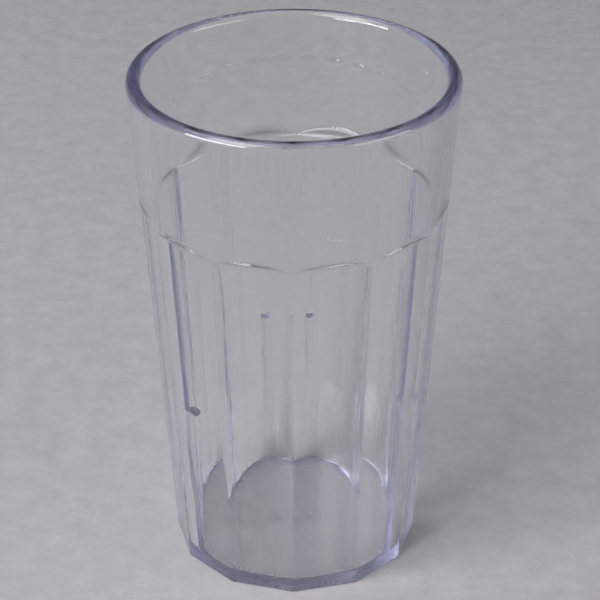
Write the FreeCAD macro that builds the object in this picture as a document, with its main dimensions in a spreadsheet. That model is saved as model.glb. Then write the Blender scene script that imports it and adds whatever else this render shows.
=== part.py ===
import FreeCAD, Part
import math
import os
import PartDesign
import Sketcher
from FreeCAD import Vector

# A clear moulded drinking tumbler, one solid. The wall leans straight out from a twelve-sided
# foot to a round rim. Flat facets climb from the foot to a ring of shallow arches, the inside is
# a smooth cone, and three upright ribs inside hold a stacked tumbler off the wall.
# Millimetres, +Z up, origin on the table at the middle of the foot.

SIZES = {
    # Outer wall line, a straight cone through the corners of the foot and the outside of the rim
    "rim_radius": 42.5,
    "base_radius": 32.8,
    "cup_height": 136.9,
    # Material: the wall is measured level, at the foot and at the rim, and the floor upright
    "wall_width": 3.1,
    "rim_width": 3.9,
    "floor_depth": 2.6,
    "floor_fillet": 1.0,
    # Facets, and the arch over each: where it starts, its height, its cove and the shoulder over it
    "facet_count": 12,
    "arch_foot": 100.4,
    "arch_rise": 3.3,
    "cove_radius": 3.0,
    "shoulder_radius": 3.5,
    # Stacking ribs, with the turn of the first one from +X in degrees
    "rib_count": 3,
    "rib_radius": 2.7,
    "rib_top": 49.0,
    "rib_turn": -22.7,
    # The low moulding mark in the middle of the floor
    "gate_radius": 1.0,
    "gate_height": 0.3,
}

DOC = FreeCAD.newDocument("tumbler_cup")

# Radius of the foot and of the wall line at the rim, measured to the middle of a facet
FACET_FOOT = "sizes.base_radius * cos(180 deg / sizes.facet_count)"
FACET_RIM = "sizes.rim_radius * cos(180 deg / sizes.facet_count)"
# Radius of the inside at the foot, and how far it leans out for each millimetre of height
INNER_FOOT = "(sizes.base_radius - sizes.wall_width)"
INNER_LEAN = f"(sizes.rim_radius - sizes.rim_width - {INNER_FOOT}) / sizes.cup_height"


def make_sheet():
    sheet = DOC.addObject("Spreadsheet::Sheet", "sizes")
    for row, (name, value) in enumerate(SIZES.items(), start=1):
        sheet.set(f"A{row}", name)
        sheet.set(f"B{row}", str(value))
        sheet.setAlias(f"B{row}", name)
    DOC.recompute()


def origin_part(body, role):
    return next(item for item in body.Origin.OriginFeatures if item.Role == role)


def wall_at(height):
    """Radius of the outer wall line at a height, where the sketches start."""
    lean = (SIZES["rim_radius"] - SIZES["base_radius"]) / SIZES["cup_height"]
    return SIZES["base_radius"] + lean * height


def inside_at(height):
    """Radius of the inner wall line at a height, where the sketches start."""
    foot = SIZES["base_radius"] - SIZES["wall_width"]
    rim = SIZES["rim_radius"] - SIZES["rim_width"]
    return foot + (rim - foot) / SIZES["cup_height"] * height


def add_sketch(body, name, plane, upright=None, turn=None):
    """A sketch on one of the body's own planes, turned about Z by an expression in degrees."""
    sketch = body.newObject("Sketcher::SketchObject", name)
    sketch.AttachmentSupport = [(origin_part(body, plane), "")]
    sketch.MapMode = "FlatFace"
    if turn:
        sketch.AttachmentOffset = FreeCAD.Placement(Vector(), FreeCAD.Rotation(upright, 1))
        sketch.setExpression("AttachmentOffset.Rotation.Angle", turn)
    return sketch


def add_line(sketch, start, end, construction=False):
    segment = Part.LineSegment(Vector(*start, 0), Vector(*end, 0))
    return sketch.addGeometry(segment, construction)


def add_arc(sketch, centre, radius, first, last):
    """An arc that runs anticlockwise between two angles in degrees."""
    circle = Part.Circle(Vector(*centre, 0), Vector(0, 0, 1), radius)
    return sketch.addGeometry(Part.ArcOfCircle(circle, math.radians(first), math.radians(last)), False)


def tie(sketch, kind, *where):
    sketch.addConstraint(Sketcher.Constraint(kind, *where))


def dimension(sketch, kind, where, value, expression):
    """A dimension that starts at value and follows the sheet by its expression."""
    index = sketch.addConstraint(Sketcher.Constraint(kind, *where, value))
    sketch.setExpression(f"Constraints[{index}]", expression)


# In a sketch, -1 is its level axis and the origin's point, -2 its upright axis.
# The points of a line or an arc are 1 for its start, 2 for its end and 3 for the centre.
ORIGIN = (-1, 1)


def add_wall(body):
    """The whole cup turned from one section, still round outside."""
    sketch = add_sketch(body, "wall_section", "XZ_Plane")
    height = SIZES["cup_height"]
    wall = SIZES["wall_width"]
    floor = SIZES["floor_depth"]
    fillet = SIZES["floor_fillet"]
    gate = SIZES["gate_radius"]
    gate_top = floor + SIZES["gate_height"]
    gate_ball = (gate**2 + SIZES["gate_height"] ** 2) / (2 * SIZES["gate_height"])
    rim_width = SIZES["rim_width"]
    lip = rim_width / 2
    lip_centre = (wall_at(height - lip) - lip, height - lip)
    fillet_centre = (inside_at(floor + fillet) - fillet, floor + fillet)
    lean_angle = math.degrees(math.atan2(wall_at(height) - wall_at(0), height))
    inner_angle = math.degrees(math.atan2(inside_at(height) - inside_at(0), height))

    outer_guide = add_line(sketch, (wall_at(0), 0), (wall_at(height), height), True)
    inner_guide = add_line(sketch, (inside_at(0), 0), (inside_at(height), height), True)
    rim_guide = add_line(sketch, (inside_at(height), height), (wall_at(height), height), True)
    foot_line = add_line(sketch, (0, 0), (wall_at(0), 0))
    outer_line = add_line(sketch, (wall_at(0), 0), (wall_at(height - lip), height - lip))
    lip_arc = add_arc(sketch, lip_centre, lip, -lean_angle, 180 - inner_angle)
    inner_line = add_line(
        sketch, (inside_at(height - lip), height - lip), (inside_at(floor + fillet), floor + fillet)
    )
    fillet_arc = add_arc(sketch, fillet_centre, fillet, -90, -inner_angle)
    floor_line = add_line(sketch, (fillet_centre[0], floor), (gate, floor))
    gate_side = math.degrees(math.acos(gate / gate_ball))
    gate_arc = add_arc(sketch, (0, gate_top - gate_ball), gate_ball, gate_side, 90)
    axis_line = add_line(sketch, (0, gate_top), (0, 0))

    tie(sketch, "Coincident", outer_guide, 1, outer_line, 1)
    tie(sketch, "Coincident", rim_guide, 2, outer_guide, 2)
    tie(sketch, "Coincident", rim_guide, 1, inner_guide, 2)
    tie(sketch, "Horizontal", rim_guide)
    tie(sketch, "PointOnObject", inner_guide, 1, -1)
    tie(sketch, "Coincident", foot_line, 1, *ORIGIN)
    tie(sketch, "PointOnObject", foot_line, 2, -1)
    tie(sketch, "Coincident", foot_line, 2, outer_line, 1)
    tie(sketch, "PointOnObject", outer_line, 2, outer_guide)
    tie(sketch, "Tangent", outer_line, 2, lip_arc, 1)
    tie(sketch, "Tangent", lip_arc, 2, inner_line, 1)
    tie(sketch, "Tangent", lip_arc, rim_guide)
    tie(sketch, "PointOnObject", inner_line, 1, inner_guide)
    tie(sketch, "PointOnObject", inner_line, 2, inner_guide)
    tie(sketch, "Tangent", inner_line, 2, fillet_arc, 2)
    tie(sketch, "Tangent", fillet_arc, 1, floor_line, 1)
    tie(sketch, "Horizontal", floor_line)
    tie(sketch, "Coincident", floor_line, 2, gate_arc, 1)
    tie(sketch, "PointOnObject", gate_arc, 3, -2)
    tie(sketch, "Coincident", gate_arc, 2, axis_line, 1)
    tie(sketch, "Coincident", axis_line, 2, foot_line, 1)
    tie(sketch, "Vertical", axis_line)

    base = SIZES["base_radius"]
    rim = SIZES["rim_radius"]
    dimension(sketch, "DistanceX", (*ORIGIN, outer_line, 1), base, "sizes.base_radius")
    dimension(sketch, "DistanceX", (*ORIGIN, outer_guide, 2), rim, "sizes.rim_radius")
    dimension(sketch, "DistanceY", (*ORIGIN, outer_guide, 2), height, "sizes.cup_height")
    dimension(sketch, "DistanceX", (inner_guide, 1, outer_guide, 1), wall, "sizes.wall_width")
    dimension(sketch, "DistanceX", (inner_guide, 2, outer_guide, 2), rim_width, "sizes.rim_width")
    dimension(sketch, "DistanceY", (*ORIGIN, floor_line, 2), floor, "sizes.floor_depth")
    dimension(sketch, "Radius", (fillet_arc,), fillet, "sizes.floor_fillet")
    dimension(sketch, "DistanceX", (*ORIGIN, floor_line, 2), gate, "sizes.gate_radius")
    dimension(
        sketch, "DistanceY", (*ORIGIN, axis_line, 1), gate_top, "sizes.floor_depth + sizes.gate_height"
    )

    turned = body.newObject("PartDesign::Revolution", "turned_wall")
    turned.Profile = sketch
    turned.ReferenceAxis = (sketch, ["V_Axis"])
    turned.Angle = 360
    return turned


def add_ribs(body):
    """One upright half-round rib with a flat top, then the set of them. The wall leans into it."""
    sketch = add_sketch(body, "rib_section", "XY_Plane", Vector(0, 0, 1), "sizes.rib_turn")
    radius = SIZES["rib_radius"]
    inside = inside_at(SIZES["rib_top"])
    root = inside + SIZES["wall_width"] / 4
    nose_arc = add_arc(sketch, (inside, 0), radius, 90, 270)
    lower_line = add_line(sketch, (inside, -radius), (root, -radius))
    root_line = add_line(sketch, (root, -radius), (root, radius))
    upper_line = add_line(sketch, (root, radius), (inside, radius))

    tie(sketch, "PointOnObject", nose_arc, 3, -1)
    tie(sketch, "Tangent", nose_arc, 2, lower_line, 1)
    tie(sketch, "Coincident", lower_line, 2, root_line, 1)
    tie(sketch, "Coincident", root_line, 2, upper_line, 1)
    tie(sketch, "Tangent", upper_line, 2, nose_arc, 1)
    tie(sketch, "Horizontal", lower_line)
    tie(sketch, "Horizontal", upper_line)
    tie(sketch, "Vertical", root_line)
    dimension(sketch, "Radius", (nose_arc,), radius, "sizes.rib_radius")
    dimension(
        sketch,
        "DistanceX",
        (*ORIGIN, nose_arc, 3),
        inside,
        f"{INNER_FOOT} + {INNER_LEAN} * sizes.rib_top",
    )
    dimension(sketch, "DistanceX", (nose_arc, 3, root_line, 1), root - inside, "sizes.wall_width / 4")

    rib = body.newObject("PartDesign::Pad", "rib")
    rib.Profile = sketch
    rib.Type = "Length"
    rib.setExpression("Length", "sizes.rib_top")

    ring = body.newObject("PartDesign::PolarPattern", "rib_ring")
    ring.Originals = [rib]
    ring.Axis = (origin_part(body, "Z_Axis"), [""])
    ring.Angle = 360
    ring.setExpression("Occurrences", "sizes.rib_count")
    body.Tip = ring
    return ring


def add_facets(body):
    """One flat facet, closed in an arch by a cove and a shoulder, then the whole ring of them."""
    sketch = add_sketch(
        body, "facet_section", "XZ_Plane", Vector(0, 1, 0), "180 deg / sizes.facet_count"
    )
    share = math.cos(math.pi / SIZES["facet_count"])
    height = SIZES["cup_height"]
    arch_foot = SIZES["arch_foot"]
    arch_top = arch_foot + SIZES["arch_rise"]
    cove = SIZES["cove_radius"]
    shoulder = SIZES["shoulder_radius"]
    clear = SIZES["rim_radius"]
    foot = (wall_at(0) * share, 0)
    turn_out = (wall_at(arch_foot) * share, arch_foot)
    bend = math.acos(1 - (wall_at(arch_foot) - turn_out[0]) / (cove + shoulder))
    cove_centre = (turn_out[0] + cove, arch_foot)
    shoulder_centre = (
        cove_centre[0] - (cove + shoulder) * math.cos(bend),
        cove_centre[1] + (cove + shoulder) * math.sin(bend),
    )
    slope = math.degrees(bend)

    guide = add_line(sketch, foot, (wall_at(height) * share, height), True)
    wall_guide = add_line(sketch, (wall_at(0), 0), (wall_at(height), height), True)
    face_line = add_line(sketch, foot, turn_out)
    cove_arc = add_arc(sketch, cove_centre, cove, 180 - slope, 176)
    shoulder_arc = add_arc(sketch, shoulder_centre, shoulder, -slope, -10)
    ledge_line = add_line(sketch, (wall_at(arch_top), arch_top), (clear, arch_top))
    far_line = add_line(sketch, (clear, arch_top), (clear, 0))
    foot_line = add_line(sketch, (clear, 0), foot)

    tie(sketch, "Coincident", guide, 1, face_line, 1)
    tie(sketch, "PointOnObject", face_line, 1, -1)
    tie(sketch, "PointOnObject", face_line, 2, guide)
    tie(sketch, "Tangent", face_line, 2, cove_arc, 2)
    tie(sketch, "Tangent", cove_arc, 1, shoulder_arc, 1)
    tie(sketch, "PointOnObject", wall_guide, 1, -1)
    tie(sketch, "PointOnObject", shoulder_arc, 2, wall_guide)
    tie(sketch, "Coincident", shoulder_arc, 2, ledge_line, 1)
    tie(sketch, "Horizontal", ledge_line)
    tie(sketch, "Coincident", ledge_line, 2, far_line, 1)
    tie(sketch, "Vertical", far_line)
    tie(sketch, "Coincident", far_line, 2, foot_line, 1)
    tie(sketch, "Coincident", foot_line, 2, face_line, 1)
    tie(sketch, "Horizontal", foot_line)
    dimension(sketch, "DistanceX", (*ORIGIN, guide, 1), foot[0], FACET_FOOT)
    dimension(sketch, "DistanceX", (*ORIGIN, guide, 2), wall_at(height) * share, FACET_RIM)
    dimension(sketch, "DistanceY", (*ORIGIN, guide, 2), height, "sizes.cup_height")
    dimension(sketch, "DistanceY", (*ORIGIN, face_line, 2), arch_foot, "sizes.arch_foot")
    dimension(sketch, "DistanceX", (*ORIGIN, wall_guide, 1), wall_at(0), "sizes.base_radius")
    dimension(sketch, "DistanceX", (*ORIGIN, wall_guide, 2), wall_at(height), "sizes.rim_radius")
    dimension(sketch, "DistanceY", (*ORIGIN, wall_guide, 2), height, "sizes.cup_height")
    dimension(sketch, "Radius", (cove_arc,), cove, "sizes.cove_radius")
    dimension(sketch, "Radius", (shoulder_arc,), shoulder, "sizes.shoulder_radius")
    dimension(
        sketch, "DistanceY", (*ORIGIN, shoulder_arc, 2), arch_top, "sizes.arch_foot + sizes.arch_rise"
    )
    dimension(sketch, "DistanceX", (*ORIGIN, far_line, 1), clear, "sizes.rim_radius")

    facet = body.newObject("PartDesign::Pocket", "facet")
    facet.Profile = sketch
    facet.Type = "Length"
    facet.SideType = "Symmetric"
    facet.setExpression("Length", "2 * sizes.rim_radius * tan(180 deg / sizes.facet_count)")

    ring = body.newObject("PartDesign::PolarPattern", "facet_ring")
    ring.Originals = [facet]
    ring.Axis = (origin_part(body, "Z_Axis"), [""])
    ring.Angle = 360
    ring.setExpression("Occurrences", "sizes.facet_count")
    body.Tip = ring
    return ring


def mesh_volume(shape):
    """Volume inside a fine mesh of the shape, from the pyramids over its triangles."""
    points, triangles = shape.tessellate(0.05)
    return sum(points[a].dot(points[b].cross(points[c])) for a, b, c in triangles) / 6


def check_steps(steps):
    """Each step has to take away or add material, as its sign says."""
    volumes = [mesh_volume(step.Shape) for step, sign in steps]
    for before, after, (step, sign) in zip(volumes, volumes[1:], steps[1:]):
        if (after - before) * sign <= 0:
            raise RuntimeError(f"{step.Name} changed nothing: {before:.1f} to {after:.1f}")
    print("volume after each step, cubic mm:", [round(volume) for volume in volumes])


def check_document():
    for item in DOC.Objects:
        if "Invalid" in item.State or "Error" in item.State:
            raise RuntimeError(f"{item.Name} failed: {item.State}")


make_sheet()
tumbler = DOC.addObject("PartDesign::Body", "tumbler")
tumbler.Label = "tumbler"
tumbler.Placement = FreeCAD.Placement()
turned_wall = add_wall(tumbler)
rib_ring = add_ribs(tumbler)
facet_ring = add_facets(tumbler)
DOC.recompute()

check_document()
check_steps([(turned_wall, 1), (rib_ring, 1), (facet_ring, -1)])
if tumbler.Shape.isNull() or not tumbler.Shape.isValid():
    raise RuntimeError("the tumbler's shape is not valid")
if len(tumbler.Shape.Solids) != 1:
    raise RuntimeError("the tumbler is not one solid")

os.makedirs("parts", exist_ok=True)
tumbler.Shape.exportStep("parts/tumbler.step")
box = tumbler.Shape.optimalBoundingBox()
print(f"size {box.XLength:.2f} x {box.YLength:.2f} x {box.ZLength:.2f} mm")
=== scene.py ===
import math

import bmesh
import bpy
import numpy as np
from mathutils import Matrix, Vector


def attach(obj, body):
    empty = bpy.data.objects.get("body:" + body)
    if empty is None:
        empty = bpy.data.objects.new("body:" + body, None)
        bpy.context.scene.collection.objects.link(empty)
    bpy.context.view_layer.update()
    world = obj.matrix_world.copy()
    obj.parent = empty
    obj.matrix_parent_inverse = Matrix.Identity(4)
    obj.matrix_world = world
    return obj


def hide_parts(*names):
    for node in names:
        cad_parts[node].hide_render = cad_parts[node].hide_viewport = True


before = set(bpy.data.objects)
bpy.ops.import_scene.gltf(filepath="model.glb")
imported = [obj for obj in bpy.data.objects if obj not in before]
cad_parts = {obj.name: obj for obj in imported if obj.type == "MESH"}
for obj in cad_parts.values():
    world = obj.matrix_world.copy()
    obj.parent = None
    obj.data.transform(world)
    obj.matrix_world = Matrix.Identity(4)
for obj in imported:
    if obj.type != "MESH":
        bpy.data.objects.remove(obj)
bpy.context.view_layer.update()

# The tumbler's sizes in metres, the same as those of the solid
RIM_RADIUS = 0.0425
BASE_RADIUS = 0.0328
HEIGHT = 0.1369
WALL = 0.0031
RIM_WALL = 0.0039
FLOOR = 0.0026
FILLET = 0.0010
FACETS = 12
RIDGE_RADIUS = 0.0015
ARCH_FOOT = 0.1004
COVE = 0.0030
SHOULDER = 0.0035
RIBS = 3
RIB_RADIUS = 0.0027
RIB_TOP = 0.0490
RIB_TURN = math.radians(-22.7)
GATE_RADIUS = 0.0010
GATE_HEIGHT = 0.0003

# How many upright sections a facet, a rounded ridge and a rib get, and which edges stay sharp
FACET_SECTIONS = 16
RIDGE_SECTIONS = 15
RIB_SECTIONS = 25
SHARP_EDGE = math.radians(14)

# The faint moulding streaks: waves to a radian round the wall, waves to a metre up it, and their depth.
# They fade out between two heights, below the lip.
STREAKS_AROUND = 26.0
STREAKS_UP = 12.0
STREAK_DEPTH = 0.00004
STREAKS_FADE = 0.100
STREAKS_END = 0.126

# The worn ring of specks on the underside, which reaches no higher than MARK_REACH
MARK_RADIUS = 0.0290
MARK_WIDTH = 0.0046
MARK_REACH = 0.0003
MARKS_PER_METRE = 1800.0
MARK_DEPTH = 0.00003
MARK_ROUGHNESS = 0.6

# The table lies just under the foot, so that the two faces don't coincide
TABLE_GAP = 0.0002
TABLE_REACH = 3.0

# The photograph's view, in metres and degrees
CAMERA_BACK = 0.5390154
CAMERA_UP = 0.3780126
CAMERA_SIDE = 1.1
CAMERA_YAW = 0.149
CAMERA_PITCH = 29.6617
CAMERA_ROLL = -0.0943
SENSOR_WIDTH = 36
FOCAL_LENGTH = 2344.59 / 600 * SENSOR_WIDTH

LEAN = (RIM_RADIUS - BASE_RADIUS) / HEIGHT
INNER_LEAN = (RIM_RADIUS - RIM_WALL - BASE_RADIUS + WALL) / HEIGHT
LEAN_ANGLE = math.atan(LEAN)
INNER_ANGLE = math.atan(INNER_LEAN)
HALF_FACET = math.pi / FACETS
FULL_TURN = 2 * math.pi


def outer_cone(height):
    """Radius of the round outside, on which the ridges lie."""
    return BASE_RADIUS + LEAN * height


def inner_cone(height):
    """Radius of the round inside."""
    return BASE_RADIUS - WALL + INNER_LEAN * height


def wall_reach(off_middle, height):
    """Radius of a facet, or of the rounded ridge beside it, away from the facet's middle."""
    reach = outer_cone(height) * math.cos(HALF_FACET)
    flat = reach / math.cos(off_middle)
    off_ridge = HALF_FACET - abs(off_middle)
    if flat * math.sin(off_ridge) >= RIDGE_RADIUS * math.sin(HALF_FACET):
        return flat
    centre = (reach - RIDGE_RADIUS) / math.cos(HALF_FACET)
    side = centre * math.sin(off_ridge)
    return centre * math.cos(off_ridge) + math.sqrt(RIDGE_RADIUS**2 - side**2)


def arch_points(off_middle, count):
    """The ledge over a facet: a cove out of the facet, then a shoulder into the cone."""
    depth = outer_cone(ARCH_FOOT) - wall_reach(off_middle, ARCH_FOOT)
    both = COVE + SHOULDER
    rise = math.sqrt(2 * both * depth - depth**2)
    bend = math.asin(rise / both)
    points = []
    for angle in np.linspace(0, bend, count)[1:]:
        up = COVE * math.sin(angle)
        points.append((depth - COVE * (1 - math.cos(angle)), up))
    for angle in np.linspace(bend, 0, 2 * count)[1:]:
        up = rise - SHOULDER * math.sin(angle)
        points.append((SHOULDER * (1 - math.cos(angle)), up))
    return [(outer_cone(ARCH_FOOT + up) - inward, ARCH_FOOT + up) for inward, up in points]


def lip_points(count):
    """The full round lip, from the outer wall line over the top to the inner one."""
    spread = 1 / math.cos(LEAN_ANGLE) + 1 / math.cos(INNER_ANGLE) + LEAN - INNER_LEAN
    radius = RIM_WALL / spread
    centre_up = HEIGHT - radius
    centre_out = outer_cone(centre_up) - radius / math.cos(LEAN_ANGLE)
    angles = np.linspace(-LEAN_ANGLE, math.pi - INNER_ANGLE, count)
    return [(centre_out + radius * math.cos(a), centre_up + radius * math.sin(a)) for a in angles]


def fillet_points(count):
    """The floor fillet, from the inner cone down to the floor."""
    centre_up = FLOOR + FILLET
    centre_out = inner_cone(centre_up) - FILLET / math.cos(INNER_ANGLE)
    angles = np.linspace(-INNER_ANGLE, -math.pi / 2, count)
    return [(centre_out + FILLET * math.cos(a), centre_up + FILLET * math.sin(a)) for a in angles]


def gate_points(count):
    """The low domed gate mark, from its rim to the middle of the floor."""
    ball = (GATE_RADIUS**2 + GATE_HEIGHT**2) / (2 * GATE_HEIGHT)
    centre_up = FLOOR + GATE_HEIGHT - ball
    reaches = np.linspace(GATE_RADIUS, 0, count)
    return [(reach, centre_up + math.sqrt(ball**2 - reach**2)) for reach in reaches]


def rib_foot(off_rib):
    """Radius of a rib's upright face, away from the rib's middle, and the height where it meets the wall."""
    centre = inner_cone(RIB_TOP)
    side = centre * math.sin(off_rib)
    if abs(side) >= RIB_RADIUS:
        return centre, RIB_TOP
    reach = centre * math.cos(off_rib) - math.sqrt(RIB_RADIUS**2 - side**2)
    if reach >= centre:
        return centre, RIB_TOP
    return reach, (reach + WALL - BASE_RADIUS) / INNER_LEAN


def rows(start, end, count):
    """Points in even steps from start to end, without the start."""
    return [
        (start[0] + (end[0] - start[0]) * k / count, start[1] + (end[1] - start[1]) * k / count)
        for k in range(1, count + 1)
    ]


def column(off_facet, off_rib):
    """One upright section of the cup, from the middle of the underside to the middle of the floor.

    The bare numbers are how many points each stretch gets, the same in every section.
    """
    points = [(0.0, 0.0)]
    points += rows(points[-1], (wall_reach(off_facet, 0), 0.0), 12)
    points += rows(points[-1], (wall_reach(off_facet, ARCH_FOOT), ARCH_FOOT), 12)
    points += arch_points(off_facet, 7)
    lip = lip_points(33)
    points += rows(points[-1], lip[0], 10)
    points += lip[1:]
    points += rows(points[-1], (inner_cone(RIB_TOP), RIB_TOP), 12)
    rib_reach, rib_meets_wall = rib_foot(off_rib)
    points.append((rib_reach, RIB_TOP))
    points += rows(points[-1], (rib_reach, rib_meets_wall), 10)
    fillet = fillet_points(13)
    points += rows(points[-1], fillet[0], 10)
    points += fillet[1:]
    points += rows(points[-1], (GATE_RADIUS, FLOOR), 10)
    points += gate_points(6)[1:]
    return points


def at_ridge(angle):
    """Whether a section stands on a ridge between two facets."""
    return abs(math.remainder(angle, 2 * HALF_FACET)) < 1e-6


def azimuths():
    """Angles of the sections: even ones, and close ones over each ridge and each rib.

    Near a rib only its own sections and the ridges stay, and its outermost ones stand just outside it.
    """
    steps = FACETS * FACET_SECTIONS
    even = [k * FULL_TURN / steps for k in range(steps)]
    ridge_bend = RIDGE_RADIUS * math.sin(HALF_FACET) / BASE_RADIUS
    rib_edge = math.asin(RIB_RADIUS / inner_cone(RIB_TOP))
    close = []
    for k in range(FACETS):
        shares = np.linspace(-1, 1, RIDGE_SECTIONS)
        close += [k * 2 * HALF_FACET + ridge_bend * share for share in shares]
    for k in range(RIBS):
        middle = (RIB_TURN + k * FULL_TURN / RIBS) % FULL_TURN
        even = [a for a in even if abs(a - middle) > rib_edge * 1.1 or at_ridge(a)]
        bends = np.linspace(-1, 1, RIB_SECTIONS) * math.pi / 2
        close += [middle + rib_edge * math.sin(bend) * 1.0001 for bend in bends]
    return sorted(set(round(a, 9) for a in even + close))


def make_tumbler():
    """The whole cup as one closed mesh of upright sections."""
    turns = azimuths()
    sections = []
    for turn in turns:
        off_facet = math.remainder(turn - HALF_FACET, 2 * HALF_FACET)
        off_rib = math.remainder(turn - RIB_TURN, FULL_TURN / RIBS)
        sections.append(column(off_facet, off_rib))
    count = len(sections[0])
    vertices = []
    for turn, section in zip(turns, sections):
        vertices += [(r * math.cos(turn), r * math.sin(turn), z) for r, z in section]
    faces = []
    for k in range(len(turns)):
        this = k * count
        following = ((k + 1) % len(turns)) * count
        for row in range(count - 1):
            faces.append((this + row, following + row, following + row + 1, this + row + 1))
    mesh = bpy.data.meshes.new("tumbler_clear")
    mesh.from_pydata(vertices, [], faces)
    work = bmesh.new()
    work.from_mesh(mesh)
    bmesh.ops.remove_doubles(work, verts=work.verts, dist=1e-7)
    bmesh.ops.dissolve_degenerate(work, dist=1e-8, edges=work.edges)
    bmesh.ops.recalc_face_normals(work, faces=work.faces)
    work.to_mesh(mesh)
    work.free()
    mesh.shade_smooth()
    mesh.set_sharp_from_angle(angle=SHARP_EDGE)
    cup = bpy.data.objects.new("tumbler_clear", mesh)
    bpy.context.scene.collection.objects.link(cup)
    return cup


def times(tree, first, second):
    """The product of a socket and another socket or a number."""
    node = tree.nodes.new("ShaderNodeMath")
    node.operation = "MULTIPLY"
    tree.links.new(first, node.inputs[0])
    if isinstance(second, float):
        node.inputs[1].default_value = second
    else:
        tree.links.new(second, node.inputs[1])
    return node.outputs["Value"]


def within(tree, value, middle, reach):
    """One where value lies within reach of middle, else nought."""
    node = tree.nodes.new("ShaderNodeMath")
    node.operation = "COMPARE"
    node.inputs[1].default_value = middle
    node.inputs[2].default_value = reach
    tree.links.new(value, node.inputs[0])
    return node.outputs["Value"]


def between(tree, value, start, end, first, last):
    """A value that goes from first to last while the given one goes from start to end."""
    node = tree.nodes.new("ShaderNodeMapRange")
    node.inputs["From Min"].default_value = start
    node.inputs["From Max"].default_value = end
    node.inputs["To Min"].default_value = first
    node.inputs["To Max"].default_value = last
    tree.links.new(value, node.inputs["Value"])
    return node.outputs["Result"]


def vector_node(tree, operation, *vectors):
    """A vector sum, scaling or length of the given sockets."""
    node = tree.nodes.new("ShaderNodeVectorMath")
    node.operation = operation
    for socket, vector in zip(node.inputs, vectors):
        tree.links.new(vector, socket)
    return node


def noise(tree, vector, scale, detail):
    node = tree.nodes.new("ShaderNodeTexNoise")
    node.inputs["Scale"].default_value = scale
    node.inputs["Detail"].default_value = detail
    tree.links.new(vector, node.inputs["Vector"])
    return node


def bump(tree, height, depth):
    node = tree.nodes.new("ShaderNodeBump")
    node.inputs["Distance"].default_value = depth
    tree.links.new(height, node.inputs["Height"])
    return node


def cup_place(tree):
    """The place on the cup, its height, and its level part, which points away from the axis."""
    place = tree.nodes.new("ShaderNodeTexCoord").outputs["Object"]
    axes = tree.nodes.new("ShaderNodeSeparateXYZ")
    level = tree.nodes.new("ShaderNodeCombineXYZ")
    tree.links.new(place, axes.inputs["Vector"])
    tree.links.new(axes.outputs["X"], level.inputs["X"])
    tree.links.new(axes.outputs["Y"], level.inputs["Y"])
    return place, axes.outputs["Z"], level.outputs["Vector"]


def moulding_streaks(tree):
    """Faint upright waves all round the wall, a millimetre or two apart and long in height."""
    _, height, level = cup_place(tree)
    around = vector_node(tree, "NORMALIZE", level)
    spread = vector_node(tree, "SCALE", around.outputs["Vector"])
    spread.inputs["Scale"].default_value = STREAKS_AROUND
    upright = tree.nodes.new("ShaderNodeCombineXYZ")
    tree.links.new(times(tree, height, STREAKS_UP), upright.inputs["Z"])
    both = vector_node(tree, "ADD", spread.outputs["Vector"], upright.outputs["Vector"])
    waves = noise(tree, both.outputs["Vector"], 1.0, 3.0)
    fade = between(tree, height, STREAKS_FADE, STREAKS_END, 1.0, 0.0)
    return bump(tree, times(tree, waves.outputs["Fac"], fade), STREAK_DEPTH).outputs["Normal"]


def underside_marks(tree):
    """A worn ring of small specks in the underside: one in a speck, else nought."""
    place, height, level = cup_place(tree)
    reach = vector_node(tree, "LENGTH", level).outputs["Value"]
    low = within(tree, height, 0.0, MARK_REACH)
    ring = within(tree, reach, MARK_RADIUS, MARK_WIDTH / 2)
    grain = noise(tree, place, MARKS_PER_METRE, 1.0)
    specks = between(tree, grain.outputs["Fac"], 0.54, 0.64, 0.0, 1.0)
    return times(tree, times(tree, low, ring), specks)


def clear_plastic():
    """Clear plastic that is faintly blue in the thick parts, with streaks and a worn foot."""
    material = bpy.data.materials.new("clear_plastic")
    material.use_nodes = True
    tree = material.node_tree
    shader = tree.nodes["Principled BSDF"]
    shader.inputs["Base Color"].default_value = (1.0, 1.0, 1.0, 1.0)
    shader.inputs["IOR"].default_value = 1.57
    shader.inputs["Transmission Weight"].default_value = 1.0
    marks = underside_marks(tree)
    pits = bump(tree, marks, MARK_DEPTH)
    tree.links.new(moulding_streaks(tree), pits.inputs["Normal"])
    tree.links.new(pits.outputs["Normal"], shader.inputs["Normal"])
    tree.links.new(times(tree, marks, MARK_ROUGHNESS), shader.inputs["Roughness"])
    tint = tree.nodes.new("ShaderNodeVolumeAbsorption")
    tint.inputs["Color"].default_value = (0.62, 0.64, 0.86, 1.0)
    tint.inputs["Density"].default_value = 20.0
    tree.links.new(tint.outputs["Volume"], tree.nodes["Material Output"].inputs["Volume"])
    return material


def paper():
    """Grey card with a faint cloudy mottle and a fine tooth."""
    material = bpy.data.materials.new("paper")
    material.use_nodes = True
    tree = material.node_tree
    shader = tree.nodes["Principled BSDF"]
    shader.inputs["Roughness"].default_value = 0.9
    place = tree.nodes.new("ShaderNodeTexCoord").outputs["Object"]
    clouds = noise(tree, place, 130.0, 6.0)
    clouds.inputs["Roughness"].default_value = 0.7
    tone = tree.nodes.new("ShaderNodeValToRGB")
    dark, light = tone.color_ramp.elements
    dark.position = 0.3
    dark.color = (0.358, 0.351, 0.371, 1.0)
    light.position = 0.7
    light.color = (0.432, 0.425, 0.447, 1.0)
    tree.links.new(clouds.outputs["Fac"], tone.inputs["Fac"])
    tree.links.new(tone.outputs["Color"], shader.inputs["Base Color"])
    return material


def make_floor():
    """The sheet of paper that the cup stands on."""
    mesh = bpy.data.meshes.new("floor")
    ends = (-TABLE_REACH, TABLE_REACH)
    corners = [(x, y, -TABLE_GAP) for x in ends for y in ends]
    mesh.from_pydata(corners, [], [(0, 2, 3, 1)])
    floor = bpy.data.objects.new("floor", mesh)
    bpy.context.scene.collection.objects.link(floor)
    floor.data.materials.append(paper())


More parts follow.
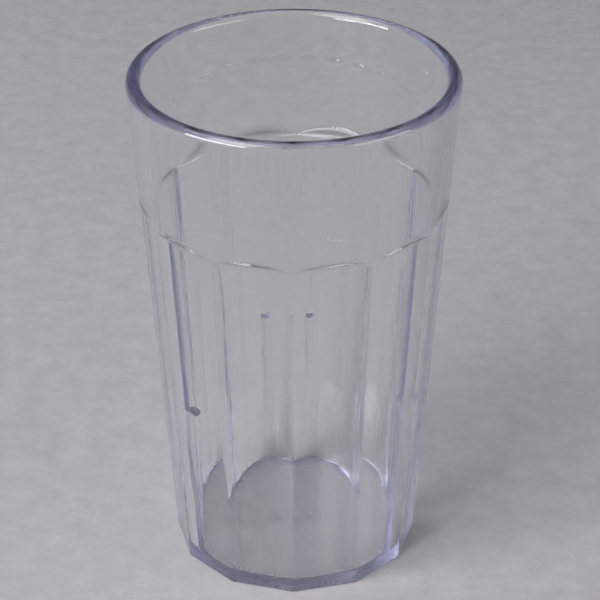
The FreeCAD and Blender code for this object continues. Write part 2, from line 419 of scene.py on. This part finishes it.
def make_camera():
    """The photograph's view, from in front and above, a little to the right."""
    side = math.radians(CAMERA_SIDE)
    data = bpy.data.cameras.new("camera")
    data.sensor_width = SENSOR_WIDTH
    data.lens = FOCAL_LENGTH
    data.clip_start = 0.01
    camera = bpy.data.objects.new("camera", data)
    bpy.context.scene.collection.objects.link(camera)
    turn = Matrix.Rotation(side, 4, "Z")
    place = Matrix.Translation(turn @ Vector((0, -CAMERA_BACK, CAMERA_UP)))
    look = (
        Matrix.Rotation(side - math.radians(CAMERA_YAW), 4, "Z")
        @ Matrix.Rotation(math.radians(90 - CAMERA_PITCH), 4, "X")
        @ Matrix.Rotation(math.radians(CAMERA_ROLL), 4, "Z")
    )
    camera.matrix_world = place @ look
    bpy.context.scene.camera = camera


def make_lamp(name, place, target, width, height, radiance):
    """A soft panel that faces its target, as bright as a world of the same strength."""
    data = bpy.data.lights.new(name, "AREA")
    data.shape = "RECTANGLE"
    data.size = width
    data.size_y = height
    data.energy = radiance * math.pi * width * height
    lamp = bpy.data.objects.new(name, data)
    lamp.location = place
    lamp.rotation_euler = (Vector(target) - Vector(place)).to_track_quat("-Z", "Y").to_euler()
    bpy.context.scene.collection.objects.link(lamp)


def make_light():
    """A dim room, broad soft light from above at the left, and two low panels in front."""
    world = bpy.data.worlds.new("room")
    world.use_nodes = True
    background = world.node_tree.nodes["Background"]
    background.inputs["Color"].default_value = (0.96, 0.97, 1.0, 1)
    background.inputs["Strength"].default_value = 0.18
    bpy.context.scene.world = world
    make_lamp("overhead", (-0.60, -0.15, 1.40), (0, 0, 0.05), 0.9, 0.9, 1.7)
    make_lamp("high_left", (-0.70, -0.70, 1.15), (0, 0, 0.05), 0.8, 0.8, 5.1)
    make_lamp("left_panel", (-2.05, -1.60, 0.83), (0, 0, 0.06), 2.1, 0.85, 13.0)
    make_lamp("right_panel", (2.30, -1.30, 0.83), (0, 0, 0.06), 2.1, 0.85, 4.5)


cup = make_tumbler()
cup.data.materials.append(clear_plastic())
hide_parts("tumbler")
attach(cup, "root")
make_floor()
make_camera()
make_light()
bpy.context.scene.view_settings.view_transform = "Standard"

# Light crosses many clear walls, and is led round inside the lip, before it is lost
cycles = bpy.context.scene.cycles
cycles.max_bounces = 64
cycles.transmission_bounces = 64
cycles.glossy_bounces = 24
cycles.blur_glossy = 0.0
